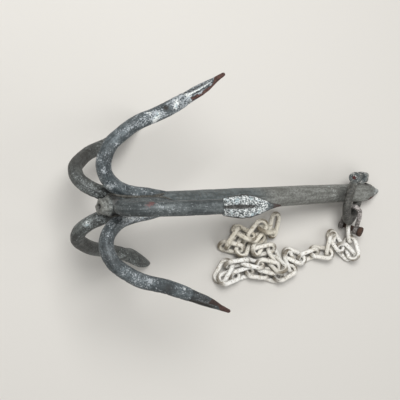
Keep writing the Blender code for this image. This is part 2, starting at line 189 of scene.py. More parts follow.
def piece(name, grids, body, solid, material, masks=None):
    """One mesh from grids (points, closed along its rows); open ends are closed with a fan round their middle."""
    verts, faces, corners, at = [], [], [], 0
    for points, closed in grids:
        rows, sides = points.shape[:2]
        i = np.arange(rows if closed else rows - 1)[:, None]
        k = np.arange(sides)[None, :]
        j, n = (i + 1) % rows, (k + 1) % sides
        quads = np.stack([i * sides + k, i * sides + n, j * sides + n, j * sides + k], axis=-1).reshape(-1, 4)
        verts.append(points.reshape(-1, 3))
        faces.append(at + quads.reshape(-1))
        corners.append(np.full(len(quads), 4))
        at += rows * sides
        if not closed:
            for row, order in ((0, -1), (rows - 1, 1)):
                rim = at - rows * sides + row * sides + np.arange(sides)[::order]
                middle = at + (0 if row == 0 else 1)
                faces.append(np.stack([rim, np.roll(rim, -1), np.full(sides, middle)], axis=1).reshape(-1))
                corners.append(np.full(sides, 3))
            verts.append(np.stack([points[0].mean(0), points[-1].mean(0)]))
            at += 2
    verts, faces, corners = np.concatenate(verts), np.concatenate(faces), np.concatenate(corners)
    if body:  # lumps never stand out of the solids' own box
        verts = np.clip(verts, np.array(cad_box[0]) + 1e-5, np.array(cad_box[1]) - 1e-5)
    mesh = bpy.data.meshes.new(name)
    mesh.vertices.add(len(verts))
    mesh.vertices.foreach_set("co", verts.astype(np.float32).reshape(-1))
    mesh.loops.add(len(faces))
    mesh.loops.foreach_set("vertex_index", faces.astype(np.int32))
    mesh.polygons.add(len(corners))
    mesh.polygons.foreach_set("loop_start", (np.cumsum(corners) - corners).astype(np.int32))
    mesh.polygons.foreach_set("loop_total", corners.astype(np.int32))
    mesh.update(calc_edges=True)
    mesh.validate()
    mesh.polygons.foreach_set("use_smooth", np.ones(len(mesh.polygons), bool))
    made = bpy.data.objects.new(name, mesh)
    bpy.context.scene.collection.objects.link(made)
    face_out(mesh)
    paint(mesh, masks or {})
    if body:
        mesh.materials.append(material)
        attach(made, body)
    if solid:
        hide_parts(solid)
    return made


def places(mesh):
    """The place of each vertex, one in a row."""
    co = np.empty(len(mesh.vertices) * 3, np.float32)
    mesh.vertices.foreach_get("co", co)
    return co.reshape(-1, 3).astype(float)


def paint(mesh, masks):
    """Stores one value or one vector for each vertex under each name."""
    for name, values in masks.items():
        values = np.asarray(values, np.float32)
        layer = mesh.attributes.new(name, "FLOAT_VECTOR" if values.ndim == 2 else "FLOAT", "POINT")
        layer.data.foreach_set("vector" if values.ndim == 2 else "value", values.reshape(-1))


def capped(grid):
    """Values of a grid in vertex order, with the mean of its first row and of its last row for the two end points."""
    flat = grid.reshape((-1,) + grid.shape[2:])
    return np.concatenate([flat, grid[:1].mean(1), grid[-1:].mean(1)])


def face_out(mesh):
    """Turns the faces round if the signed volume, the sum of corner a dot b cross c, is negative."""
    co = places(mesh)
    mesh.calc_loop_triangles()
    tri = np.empty(len(mesh.loop_triangles) * 3, np.int32)
    mesh.loop_triangles.foreach_get("vertices", tri)
    a, b, c = (co[tri.reshape(-1, 3)[:, i]] for i in range(3))
    if np.einsum("ij,ij->i", a, np.cross(b, c)).sum() < 0:
        mesh.flip_normals()


def roughened(points, centre, lumps, pits, seed):
    """Moves points off their centre line: lumps (size mm, height mm) of smooth noise, and pits (size, depth) where fine
    noise peaks."""
    ray = unit(points - centre)
    height = np.zeros(points.shape[:-1])
    for i, (size, tall) in enumerate(lumps):
        height += tall * value_noise(points, size * MM, seed + i)
    size, deep = pits
    height -= deep * smooth_step(0.45, 0.75, value_noise(points, size * MM, seed + 17))
    return points + ray * (height * MM)[..., None]


def on_anchor(along, out, angle=0.0):
    """Place in metres: so far along the shank's axis, and out from it at an angle in radians round it."""
    along, out, angle = np.broadcast_arrays(*(np.asarray(v, float) for v in (along, out, angle)))
    away = SIDE * np.sin(angle)[..., None] + UP * np.cos(angle)[..., None]
    return TIP + (ALONG * along[..., None] + away * out[..., None]) * MM


# ---- materials -------------------------------------------------------------------------------------------------------


RGBA = {"data_type": "RGBA"}
SMOOTH = {"interpolation_type": "SMOOTHSTEP"}


def colour(hex_code):
    """sRGB hex to linear RGBA: c / 12.92 in the toe and ((c + 0.055) / 1.055) ** 2.4 above it."""
    c = np.array([int(hex_code[i : i + 2], 16) for i in (1, 3, 5)]) / 255
    return (*np.where(c <= 0.04045, c / 12.92, ((c + 0.055) / 1.055) ** 2.4), 1.0)


def node(tree, kind, inputs=None, out=0, **settings):
    """Adds a node with its settings; each input, by name or number, takes a link, a value or a hex colour. Returns one
    of its outputs, if it has any."""
    made = tree.nodes.new("ShaderNode" + kind)
    for key, value in settings.items():
        setattr(made, key, value)
    for socket, source in (inputs or {}).items():
        if isinstance(source, bpy.types.NodeSocket):
            tree.links.new(source, made.inputs[socket])
        else:
            made.inputs[socket].default_value = colour(source) if isinstance(source, str) else source
    return made.outputs[out] if made.outputs else None


def empty_material(name):
    """A material with an empty tree, and the node function bound to that tree."""
    material = bpy.data.materials.new(name)
    material.use_nodes = True
    material.node_tree.nodes.clear()
    return material, functools.partial(node, material.node_tree)


def galvanised(name, dark, light, salt, amount, streak=0.5, under="#33373a"):
    """Hot-dip galvanised mild steel, forged and long in salt water: two dull tones of zinc in 24 mm clouds and
    lengthwise streaks, which give the bar its worn, drawn look; dark pitting and white zinc salt in 2 mm grains (real
    grains are half a millimetre, and these are as coarse as they need to show); a thick white crust where the zinc mask
    is high. Crumbs of salt and rust are matt, and the bare zinc between them has a faint sheen. The slate mask brings a
    bluer zinc, the dark mask mud and painted shade, the rust mask brown rust, and the red mask a dab of red lead."""
    material, add = empty_material(name)
    place = add("TexCoord", out="Object")
    bar = add("Attribute", out="Vector", attribute_name="bar")
    zinc, slate, mud_and_shade, eaten, lead = (add("Attribute", out="Fac", attribute_name=mask)
                                     for mask in ("zinc", "slate", "dark", "rust", "red"))
    drawn = add("VectorMath", {0: bar, 1: (0.12, 1, 1)}, operation="MULTIPLY")
    cloud = add("TexNoise", {"Vector": place, "Scale": 1 / 0.024, "Detail": 3.0, "Roughness": 0.6})
    streaks = add("TexNoise", {"Vector": drawn, "Scale": 1 / 0.0032, "Detail": 3.0, "Roughness": 0.6})
    patch = add("TexNoise", {"Vector": place, "Scale": 1 / 0.0085, "Detail": 3.0, "Roughness": 0.6, "Distortion": 0.4})
    mottle = add("TexNoise", {"Vector": place, "Scale": 1 / 0.0042, "Detail": 3.0, "Roughness": 0.65})
    grain = add("TexNoise", {"Vector": place, "Scale": 1 / 0.0019, "Detail": 3.0, "Roughness": 0.7})
    pitting = add("TexNoise", {"Vector": place, "Scale": 1 / 0.0022, "Detail": 2.0, "Roughness": 0.6,
                               "Distortion": 0.3})
    # two tones of zinc
    tone = add("Mix", {0: 0.25 + 0.4 * streak, 2: cloud, 3: streaks})
    tone = add("Math", {0: mottle, 1: 0.5, 2: tone}, operation="MULTIPLY_ADD")
    tone = add("MapRange", {0: tone, 1: 0.62, 2: 0.88}, **SMOOTH)
    base = add("Mix", {0: tone, 6: dark, 7: light}, 2, **RGBA)
    blue = add("Mix", {0: tone, 6: "#434a4c", 7: "#687072"}, 2, **RGBA)
    base = add("Mix", {0: slate, 6: base, 7: blue}, 2, **RGBA)
    pits = add("MapRange", {0: pitting, 1: 0.5, 2: 0.38, 4: 0.6}, **SMOOTH)
    base = add("Mix", {0: pits, 6: base, 7: under}, 2, **RGBA)
    # white salt in grains, closer together in patches and streaks
    level = add("Math", {0: patch, 1: 0.55, 2: grain}, operation="MULTIPLY_ADD")
    level = add("Math", {0: streaks, 1: 0.25, 2: level}, operation="MULTIPLY_ADD")
    level = add("Math", {0: zinc, 1: 0.35, 2: level}, operation="MULTIPLY_ADD")
    grains = add("MapRange", {0: level, 1: 1.0 - amount, 2: 1.14 - amount, 4: 0.9}, **SMOOTH)
    base = add("Mix", {0: grains, 6: base, 7: salt}, 2, **RGBA)
    # thick crust, broken up by its own grains and tinted by copper-green here and there
    crumbs = add("TexNoise", {"Vector": place, "Scale": 1 / 0.0014, "Detail": 2.0, "Roughness": 0.7})
    thick = add("Math", {0: mottle, 1: 0.35, 2: zinc}, operation="MULTIPLY_ADD")
    thick = add("Math", {0: grain, 1: 0.9, 2: thick}, operation="MULTIPLY_ADD")
    crust = add("MapRange", {0: thick, 1: 1.08, 2: 1.24}, **SMOOTH)
    shade = add("MapRange", {0: crumbs, 1: 0.36, 2: 0.5}, **SMOOTH)
    white = add("Mix", {0: shade, 6: "#666e6f", 7: "#e6eae8"}, 2, **RGBA)
    green = add("MapRange", {0: patch, 1: 0.55, 2: 0.64, 4: 0.6}, **SMOOTH)
    white = add("Mix", {0: green, 6: white, 7: "#7fa3ad"}, 2, **RGBA)
    base = add("Mix", {0: crust, 6: base, 7: white}, 2, **RGBA)
    # rust, mud and painted shade over it, and red lead
    rusty = add("Math", {0: streaks, 1: 0.3, 2: eaten}, operation="MULTIPLY_ADD")
    rusty = add("Math", {0: patch, 1: 0.35, 2: rusty}, operation="MULTIPLY_ADD")
    rusty = add("MapRange", {0: rusty, 1: 0.7, 2: 0.84}, **SMOOTH)
    brown = add("MapRange", {0: grain, 1: 0.38, 2: 0.62}, **SMOOTH)
    brown = add("Mix", {0: brown, 6: "#2e201b", 7: "#5c403a"}, 2, **RGBA)
    base = add("Mix", {0: rusty, 6: base, 7: brown}, 2, **RGBA)
    # the dark mask: mud and painted shade, in one dark brown-grey
    mud_and_shade_share = add("Math", {0: patch, 1: 0.5, 2: 0.7}, operation="MULTIPLY_ADD")
    mud_and_shade_share = add("Math", {0: mud_and_shade_share, 1: mud_and_shade}, operation="MULTIPLY", use_clamp=True)
    base = add("Mix", {0: mud_and_shade_share, 6: base, 7: "#2c2a28"}, 2, **RGBA)
    dab = add("Math", {0: grain, 1: 1.2, 2: lead}, operation="MULTIPLY_ADD")
    dab = add("MapRange", {0: dab, 1: 0.88, 2: 1.12, 4: 0.85}, **SMOOTH)
    base = add("Mix", {0: dab, 6: base, 7: "#65403f"}, 2, **RGBA)
    cover = add("Math", {0: crust, 1: rusty}, operation="MAXIMUM")
    cover = add("Math", {0: cover, 1: grains}, operation="MAXIMUM")
    rough = add("MapRange", {0: cover, 3: 0.52, 4: 0.88})
    metal = add("MapRange", {0: cover, 3: 0.35, 4: 0.0})
    height = add("Math", {0: grain, 1: 0.7, 2: mottle}, operation="MULTIPLY_ADD")
    height = add("Math", {0: crust, 1: 0.4, 2: height}, operation="MULTIPLY_ADD")
    relief = add("Bump", {"Strength": 0.6, "Distance": 0.7 * MM, "Height": height}, "Normal")
    shader = add("BsdfPrincipled", {"Base Color": base, "Roughness": rough, "Metallic": metal, "Normal": relief})
    add("OutputMaterial", {"Surface": shader})
    return material


def scaly_rust(name, deep, warm):
    """Bare mild steel left to rust: deep and warm browns in 2 mm scales over a 9 mm cloud, which look matt and
    crusty."""
    material, add = empty_material(name)
    place = add("TexCoord", out="Object")
    scales = add("TexNoise", {"Vector": place, "Scale": 1 / 0.0022, "Detail": 4.0, "Roughness": 0.7})
    cloud = add("TexNoise", {"Vector": place, "Scale": 1 / 0.009, "Detail": 2.0})
    tone = add("Math", {0: cloud, 1: 0.6, 2: scales}, operation="MULTIPLY_ADD")
    tone = add("MapRange", {0: tone, 1: 0.66, 2: 0.95}, **SMOOTH)
    base = add("Mix", {0: tone, 6: deep, 7: warm}, 2, **RGBA)
    relief = add("Bump", {"Strength": 0.7, "Distance": 0.5 * MM, "Height": scales}, "Normal")
    shader = add("BsdfPrincipled", {"Base Color": base, "Roughness": 0.9, "Normal": relief})
    add("OutputMaterial", {"Surface": shader})
    return material


def chalked_vinyl(name):
    """Vinyl-dipped chain gone chalky: a white coat with a low sheen, yellowed where the cream mask says, stained brown
    in 5 mm patches, darkened with dirt and painted shade where the dark mask says, and chipped to dull wire in 2 mm
    spots."""
    material, add = empty_material(name)
    place = add("TexCoord", out="Object")
    cream = add("Attribute", out="Fac", attribute_name="cream")
    grease_and_shade = add("Attribute", out="Fac", attribute_name="dark")
    cloud = add("TexNoise", {"Vector": place, "Scale": 1 / 0.034, "Detail": 2.0})
    stain = add("TexNoise", {"Vector": place, "Scale": 1 / 0.0045, "Detail": 4.0, "Roughness": 0.66})
    chip = add("TexNoise", {"Vector": place, "Scale": 1 / 0.0019, "Detail": 3.0, "Roughness": 0.6})
    tone = add("MapRange", {0: cloud, 1: 0.36, 2: 0.64}, **SMOOTH)
    base = add("Mix", {0: tone, 6: "#e4e0d6", 7: "#f7f6f1"}, 2, **RGBA)
    yellowed = add("Math", {0: cream, 1: 0.42}, operation="MULTIPLY")
    base = add("Mix", {0: yellowed, 6: base, 7: "#d0c3a0"}, 2, **RGBA)
    stained = add("MapRange", {0: stain, 1: 0.52, 2: 0.66, 4: 0.6}, **SMOOTH)
    base = add("Mix", {0: stained, 6: base, 7: "#8c7d5f"}, 2, **RGBA)
    # the dark mask, broken by the stains: dirt and painted contact shade at the rubbed ends, and painted shade on the
    # wire's sides and undersides, in one dark brown
    rubbed_and_shaded = add("Math", {0: stain, 1: 0.8, 2: 0.6}, operation="MULTIPLY_ADD")
    rubbed_and_shaded = add("Math", {0: rubbed_and_shaded, 1: grease_and_shade}, operation="MULTIPLY", use_clamp=True)
    base = add("Mix", {0: rubbed_and_shaded, 6: base, 7: "#55472f"}, 2, **RGBA)
    chips = add("MapRange", {0: chip, 1: 0.635, 2: 0.67, 4: 0.9}, **SMOOTH)
    base = add("Mix", {0: chips, 6: base, 7: "#43382b"}, 2, **RGBA)
    height = add("Math", {0: stain, 1: chips}, operation="SUBTRACT")
    relief = add("Bump", {"Strength": 0.4, "Distance": 0.4 * MM, "Height": height}, "Normal")
    shader = add("BsdfPrincipled", {"Base Color": base, "Roughness": 0.5, "Normal": relief})
    add("OutputMaterial", {"Surface": shader})
    return material


def studio_paper(name):
    """Seamless paper: one pale matt tone that keeps shadows near the object; farther than 0.7 m from it, the camera
    sees the paper's own even tone instead of the fall-off of the lamps."""
    material, add = empty_material(name)
    far = add("VectorMath", {0: add("TexCoord", out="Object")}, "Value", operation="LENGTH")
    far = add("MapRange", {0: far, 1: 0.7, 2: 2.0}, **SMOOTH)
    far = add("Math", {0: far, 1: add("LightPath", out="Is Camera Ray")}, operation="MULTIPLY")
    paper = add("BsdfPrincipled", {"Base Color": "#d9d6d0", "Roughness": 0.9})
    even_tone = add("Emission", {"Color": "#e1ded8", "Strength": 1.0})
    add("OutputMaterial", {"Surface": add("MixShader", {0: far, 1: paper, 2: even_tone})})
    return material


SIDE_ARM_STEEL = galvanised("weathered_galvanised_side_arms", "#3f474b", "#687175", "#b4babe", 0.035)
REAR_ARM_STEEL = galvanised("weathered_galvanised_rear_arms", "#3f4241", "#6d7270", "#a2a9a9", 0.02)
TOP_ARM_STEEL = galvanised("weathered_galvanised_top_arm", "#3c4244", "#5e6465", "#9ba1a3", -0.005, 1.0)
SHANK_STEEL = galvanised("weathered_galvanised_shank", "#666763", "#8b8d89", "#acaeaa", -0.07, 1.0, "#555652")
SHACKLE_STEEL = galvanised("weathered_galvanised_bow_shackle", "#3a3935", "#6a6a65", "#b3b1ac", -0.01)
LITTLE_STEEL = galvanised("weathered_galvanised_small_shackle", "#6b6764", "#97928e", "#cbc4c1", 0.03)
BEAD_STEEL = galvanised("muddy_weld_metal", "#4a4a46", "#6c6b65", "#a39f95", 0.0, 0.2, "#33312d")
RUST = scaly_rust("scaly_rust", "#221814", "#4d382d")
PIN_RUST = scaly_rust("red_brown_rust", "#331717", "#5a2f2c")
COATING = chalked_vinyl("chalked_white_vinyl")

# ---- shank -----------------------------------------------------------------------------------------------------------


def shank_grid(rows, sides):
    """Superellipse sections of the SHANK table along the axis, pushed out and in by noise; the point is flattened to a
    blunt chisel, and the crown end is a lumpy rounded knob with a pit at its middle."""
    at = np.concatenate([-2.5 * (1 - np.cos(np.linspace(0, np.pi / 2, 10)))[:-1], np.linspace(-2.5, -70, rows // 4),
                         np.linspace(-70, -400, rows // 3)[1:], np.linspace(-400, -472, rows // 4)[1:]])
    table = SHANK[::-1]
    wide, high, square = (np.interp(at, table[:, 0], table[:, i]) for i in (1, 2, 3))
    blunt = np.interp(at, (-24, -15, -9, -4, -1.2, 0), (11.4, 8.3, 6.0, 4.2, 3.1, 1.8))
    wide = np.where(at > -24, blunt, wide)
    neck = 1 - NECK * smooth_step(-459, -468, at)
    wide, high = wide * neck, high * neck
    roll = np.linspace(0, np.pi / 2, 20)
    pit = KNOB_AT - np.array([6.6, 5.8, 4.6, 3.4, 2.6, 2.4])
    at = np.concatenate([at, KNOB_AT - KNOB_DEPTH * np.sin(roll), pit])
    ring = np.concatenate([3.2 + 6.9 * np.cos(roll) ** 0.7, [2.9, 2.5, 2.1, 1.7, 1.2, 0.6]])
    wide, high = np.concatenate([wide, ring]), np.concatenate([high, ring * 0.99])
    square = np.concatenate([square, np.full(len(ring), 2.0)])
    x, y = round_section(sides, square)
    centre = on_anchor(at, 0)
    rows = len(at)
    points = swept(centre, np.repeat(SIDE[None], rows, 0), np.repeat(UP[None], rows, 0), x * wide[:, None] * MM,
                   y * high[:, None] * MM)
    ray = unit(points - centre[:, None])
    hammered = smooth_step(-425, -460, at)[:, None]
    swollen = 0.9 * bell(np.hypot(at[:, None] - EYE_AT, y * 12), 0, math.sqrt(130)) * x**2
    lift = 0.22 * value_noise(points, 0.024, 3) + 0.09 * value_noise(points, 0.006, 4) + swollen
    lift += hammered * (0.75 * value_noise(points, 0.009, 5) + 0.35 * value_noise(points, 0.0035, 6))
    knob = smooth_step(-461, -470, at)[:, None] * smooth_step(2.0, 5.0, wide)[:, None]
    lift += knob * (2.2 * value_noise(points, 0.0058, 12) + 1.1 * value_noise(points, 0.0032, 9) - 0.2)
    lift -= 0.5 * smooth_step(0.5, 0.75, value_noise(points, 0.0045, 7)) * (0.3 + hammered)
    deep = smooth_step(1.0, 5.0, wide)[:, None]
    return points + ray * (lift * deep * MM)[..., None]


def cut(made, cutter_grid, name):
    """Takes a closed form away from a piece with an exact Boolean, and keeps the result as the piece's mesh."""
    cutter = piece(name, [(cutter_grid, False)], None, None, None)
    step = made.modifiers.new("cut", "BOOLEAN")
    step.operation, step.solver, step.object = "DIFFERENCE", "EXACT", cutter
    graph = bpy.context.evaluated_depsgraph_get()
    graph.update()
    mesh = bpy.data.meshes.new_from_object(made.evaluated_get(graph))
    made.modifiers.clear()
    old, made.data = made.data, mesh
    bpy.data.meshes.remove(old)
    bpy.data.objects.remove(cutter)
    return mesh


BOW_Y = unit(np.array((0.17, 0.97, 0.09)))  # the bow shackle's leg goes through the eye this way
shank = piece("shank_bar", [(shank_grid(int(430 * FINE), int(88 * FINE)), False)], "anchor", "shank", SHANK_STEEL)
EYE = on_anchor(EYE_AT, 0)
hole_along = np.array([-22.0, -13.2, -11.4, 11.4, 13.2, 22.0])  # flared where it breaks out of the bar
hole_out = EYE_R + np.array([2.6, 0.9, 0, 0, 0.9, 2.6])
mesh = cut(shank, turned(EYE, BOW_Y, ALONG, hole_along * MM, hole_out * MM, int(40 * FINE)), "eye_drift")
co = places(mesh)
local = (co - TIP) @ np.stack([ALONG, SIDE, UP], axis=1)
down, beside = local[:, 0] / MM, local[:, 1] / MM
top = local[:, 2] > 0
from_eye = np.linalg.norm((co - EYE) @ np.stack([ALONG, UP], axis=1), axis=1) / MM
paint(mesh, {
    "bar": local,
    "zinc": (0.42 * bell(down + 0.7 * beside, -105, 6) + 0.5 * smooth_step(-36, -12, down)) * top
    + 0.2 * smooth_step(-380, -440, down) + 0.08 * smooth_step(-462, -472, down),
    "rust": 0.25 * bell(down, -3, 6) + 0.3 * bell(from_eye, EYE_R + 1, 2.5) + 0.12 * smooth_step(-462, -474, down)
    + 0.6 * bell(down, -14, 6) * bell(np.abs(beside), 7, 3) + 1.1 * bell(down, -25, 9) * bell(beside, -10, 3.5)
    + 0.5 * bell(down, -24, 4) * bell(beside, 10, 3),
    # dark: painted shade in the pit at the knob's middle, in the crevice at the neck before the knob where the arms
    # meet it, and at the mouth of the eye where the bow shackle's leg goes in
    "dark": 0.85 * smooth_step(4.6, 2.4, np.linalg.norm(local[:, 1:], axis=1) / MM) * (down < -400)
    + 0.9 * smooth_step(-455, -462, down) * smooth_step(-470, -465, down)
    + 0.9 * bell(down, -38, 9) * bell(beside, 11.5, 3),
    "slate": smooth_step(-215, -262, down) * smooth_step(-476, -462, down) + 0.3 * smooth_step(-45, -15, down),
})

# ---- arms ------------------------------------------------------------------------------------------------------------


def turned_with_shank(v):
    """Vectors given along the shank, to its side and up from it, in the model's directions."""
    return v[:, :1] * ALONG + v[:, 1:2] * SIDE + v[:, 2:3] * UP


def arm_course(name, count):
    """Centre line of an arm: the shared curve turned to the arm's angle and opened and swung as it is bent. Returns the
    line, the distance along it and its length in mm, and its across and outward directions."""
    angle, opened, swung, slid, _, long = ARMS[name]
    flat = even(catmull(ARM_LINE, 12), 400)
    reach = np.concatenate([[0], np.cumsum(np.linalg.norm(np.diff(flat, axis=0), axis=1))])
    total = reach[-1]
    blade = total - long * 1.1
    end = total - 3.0 * (1 - np.sin(np.linspace(0, np.pi / 2, 12)))
    s = np.concatenate([np.linspace(0, blade, count // 2, endpoint=False),
                        np.linspace(blade, total - 3.0, count // 2, endpoint=False), end])
    a, r = (np.interp(s, reach, flat[:, i]) for i in (0, 1))
    share = np.clip((s - LAID) / (total - LAID), 0, 1) ** 1.5
    turn = np.radians(angle + swung * share)
    line = on_anchor(a + slid, r + opened * share, turn)
    across = turned_with_shank(np.stack([np.zeros_like(turn), np.cos(turn), -np.sin(turn)], axis=1))
    ahead = unit(np.gradient(line, axis=0))
    ahead[-13:] = ahead[-13]
    across = unit(across - ahead * np.sum(across * ahead, axis=1, keepdims=True))
    return line, s, total, across, np.cross(ahead, across)


def arm_section(from_point, s, leaf, sides):
    """Half widths of a superellipse that goes from round bar to a leaf with sharp edges, a ridge on each face, a step
    where the leaf was sheared, a rounded point, and a V groove along the outward ridge."""
    bar = ROOT_R + (ARM_R - ROOT_R) * np.clip(s / ROOT_LENGTH, 0, 1)
    on_leaf = from_point < 1.0
    tip = np.sqrt(np.clip(1 - (1 - np.clip((s[-1] - s) / 2.6, 0, 1)) ** 2, 0, 1)) * 0.96 + 0.04
    wide = np.where(on_leaf, np.interp(from_point, leaf[:, 0], leaf[:, 1]), bar) * tip
    thick = np.where(on_leaf, np.interp(from_point, leaf[:, 0], leaf[:, 2]), bar) * tip
    shear = bell(from_point, 1.0, 0.012)
    shear += 0.35 * smooth_step(1.0, 1.02, from_point) * smooth_step(1.25, 1.05, from_point)
    square = np.interp(from_point, (0.0, 0.1, 0.3, 0.9, 1.0, 1.08), (2.0, 1.9, 1.45, 1.45, 1.6, 2.0))
    x, y = round_section(sides, square)
    x, y = x * (wide - shear)[:, None], y * (thick - shear)[:, None]
    half, deep = (np.interp(from_point, GROOVE[:, 0], GROOVE[:, i])[:, None] for i in (1, 2))
    across = np.abs(x) / np.maximum(half * 1.15, 0.05)
    hollow = (y > 0) * np.clip(1 - across, 0, 1) ** 0.7
    shade = (y > 0) * smooth_step(1.0, 0.6, across) * smooth_step(0.4, 1.2, deep)
    return x, y - hollow * deep * 1.2, shade


SPOTS = {  # distance from the point in mm, turn from the outward side in degrees, radius in mm, mask and strength
    "arm_port": [
        (209, -45, 5, "zinc", 0.6), (192, -67, 4, "zinc", 0.45), (162, -90, 3, "zinc", 0.5),
        (181, -14, 4, "zinc", 0.35), (108, -113, 5, "zinc", 0.6), (101, -75, 6, "zinc", 0.42),
        (112, -35, 4, "zinc", 0.45), (80, -75, 6, "zinc", 0.3), (74, -50, 4, "zinc", 0.25),
        (98, -60, 25, "zinc", 0.13), (52, -50, 14, "zinc", 0.12), (125, -80, 14, "zinc", 0.15),
        (90, -50, 3.4, "dark", 1.4), (135, -20, 12, "dark", 0.25), (175, -110, 12, "dark", 0.3)],
    # the broad dark spots on the two rear arms are painted shade on their far, lower sides
    "arm_rear_port": [
        (206, 0, 14, "zinc", 0.3), (192, -45, 10, "zinc", 0.2), (232, -20, 15, "zinc", 0.2),
        (150, -100, 34, "dark", 0.62)],
    "arm_rear_starboard": [(201, 18, 5, "zinc", 0.55), (212, 20, 14, "zinc", 0.22), (148, 120, 40, "dark", 0.62)],
    "arm_starboard": [
        (228, 63, 6, "zinc", 0.3), (250, 90, 6, "zinc", 0.4), (196, 72, 6, "zinc", 0.15), (73, 100, 2.5, "zinc", 0.8),
        (224, 105, 7, "zinc", 0.35), (239, 112, 9, "zinc", 0.5), (256, 115, 9, "zinc", 0.5), (120, 70, 9, "zinc", 0.2),
        (138, 70, 9, "zinc", 0.2), (223, 135, 8, "rust", 0.25), (95, 60, 6, "dark", 0.5), (175, 70, 16, "dark", 0.3),
        (215, 110, 12, "dark", 0.3)],
    "arm_top": [(154, 36, 5, "red", 0.44), (150, 54, 4, "red", 0.42), (147, 52, 9, "zinc", 0.25)],
}
ARM_LOOK = {"arm_port": SIDE_ARM_STEEL, "arm_starboard": SIDE_ARM_STEEL, "arm_rear_port": REAR_ARM_STEEL,
            "arm_rear_starboard": REAR_ARM_STEEL, "arm_top": TOP_ARM_STEEL}
GRIME = {"arm_starboard": 0.12, "arm_rear_port": 0.18}  # share of mud all over an arm
# the top arm's leaf is worn to a concave taper before its point: share of the fluke, share of the leaf's size
TAPER = np.array([(0, 1), (0.05, 0.85), (0.12, 0.68), (0.3, 0.78), (0.45, 0.93), (0.7, 1.0), (1.0, 1.0)])

for order, name in enumerate(ARMS):
    sides = int(84 * FINE)
    leaf, long = ARMS[name][4:]
    line, s, total, across, outward = arm_course(name, int(380 * FINE))
    from_point = (total - s) / long
    if name == "arm_top":
        leaf = leaf * np.interp(leaf[:, 0], TAPER[:, 0], TAPER[:, 1])[:, None]
        leaf[:, 0] = LONG_LEAF[:, 0]
    x, y, hollow = arm_section(from_point, s, leaf, sides)
    points = swept(line, across, outward, x * MM, y * MM)
    ray = unit(points - line[:, None])
    lift = 0.28 * value_noise(points, 0.020, 20 + order) + 0.16 * value_noise(points, 0.006, 30 + order)
    lift -= 0.4 * smooth_step(0.42, 0.7, value_noise(points, 0.0042, 40 + order))
    points += ray * (lift * smooth_step(0.0, 0.12, from_point)[:, None] * MM)[..., None]
    back = from_point[:, None]  # share of the fluke, from its point
    on_leaf = back < 1.0
    level = x / np.maximum(np.abs(x).max(1, keepdims=True), 1e-6)  # -1 and 1 at the two edges of the leaf
    blade = smooth_step(0.3, 0.45, back) * on_leaf
    from_axis = np.linalg.norm(np.cross(points - TIP, ALONG), axis=-1) / MM
    # dark: the arm's mud, painted shade in the groove along the outward ridge, and painted shade in the crevice where
    # the root lies along the shank
    dark = GRIME.get(name, 0) + (0.6 if name == "arm_port" else 0.95) * hollow
    dark += 0.36 * smooth_step(16.2, 14.0, from_axis) * (s < 110)[:, None]
    zinc, rust, red = np.zeros_like(x), np.zeros_like(x), np.zeros_like(x)
    if name == "arm_top":  # salt over the whole face, painted shade on the under-bevel of its edges, and a dark point that starts to rust
        zinc += 0.52 * on_leaf * (y > -1) * smooth_step(0.08, 0.3, back)
        dark += on_leaf * (y < 1.5) * smooth_step(0.86, 0.95, np.abs(level)) + 0.6 * smooth_step(0.24, 0.1, back)
        rust += 0.5 * smooth_step(0.22, 0.12, back)
    elif name == "arm_port":  # salt along the two ridges of the face, and rust along one edge and on the point
        ragged = level + 0.26 * back + 0.16 * value_noise(points, 0.006, 50)
        zinc += blade * (0.25 + 0.46 * bell(level, -0.1, 0.1) + 0.46 * bell(level, -0.47, 0.09))
        zinc += 0.3 * smooth_step(0.85, 1.05, back) * smooth_step(1.5, 1.2, back)
        furrows = bell(level, -0.28, 0.06) + 0.7 * bell(level, -0.66, 0.05)
        dark += 0.8 * smooth_step(0.95, 0.85, back) * blade * furrows
        rust += 0.7 * smooth_step(0.4, 0.24, back + 0.14 * (level + 0.5))
        rust += 0.6 * on_leaf * smooth_step(-0.56, -0.72, ragged) * smooth_step(1.05, 0.9, back)
    elif name == "arm_starboard":  # a dirty face with one salted ridge, and rust as on the port arm
        ragged = level + 0.2 * value_noise(points, 0.006, 51)
        zinc += 0.4 * blade * bell(level, 0.5, 0.08)
        dark += blade * (0.45 + 0.4 * bell(level, 0.3, 0.1))
        rust += 0.75 * smooth_step(0.38, 0.26, back - 0.14 * (level - 0.5))
        rust += 0.6 * on_leaf * smooth_step(0.5, 0.7, ragged) * smooth_step(0.75, 0.55, back)
    else:
        rust += 0.3 * smooth_step(0.2, 0.1, back)
    masks = {"zinc": zinc, "rust": rust, "dark": dark, "red": red}
    for far, way, size, kind, strength in SPOTS[name]:
        at = np.argmin(np.abs(total - s - far))
        out = across[at] * math.sin(math.radians(way)) + outward[at] * math.cos(math.radians(way))
        from_spot = np.linalg.norm(points - line[at] - out * ARM_R * MM, axis=-1) / MM
        masks[kind] += strength * bell(from_spot, 0, size)
    masks["bar"] = np.stack([np.broadcast_to(s[:, None], x.shape), x, y], axis=-1) * MM
    piece(name + "_forging", [(points, False)], "anchor", name, ARM_LOOK[name],
          {kind: capped(values) for kind, values in masks.items()})

# ---- weld beads ------------------------------------------------------------------------------------------------------


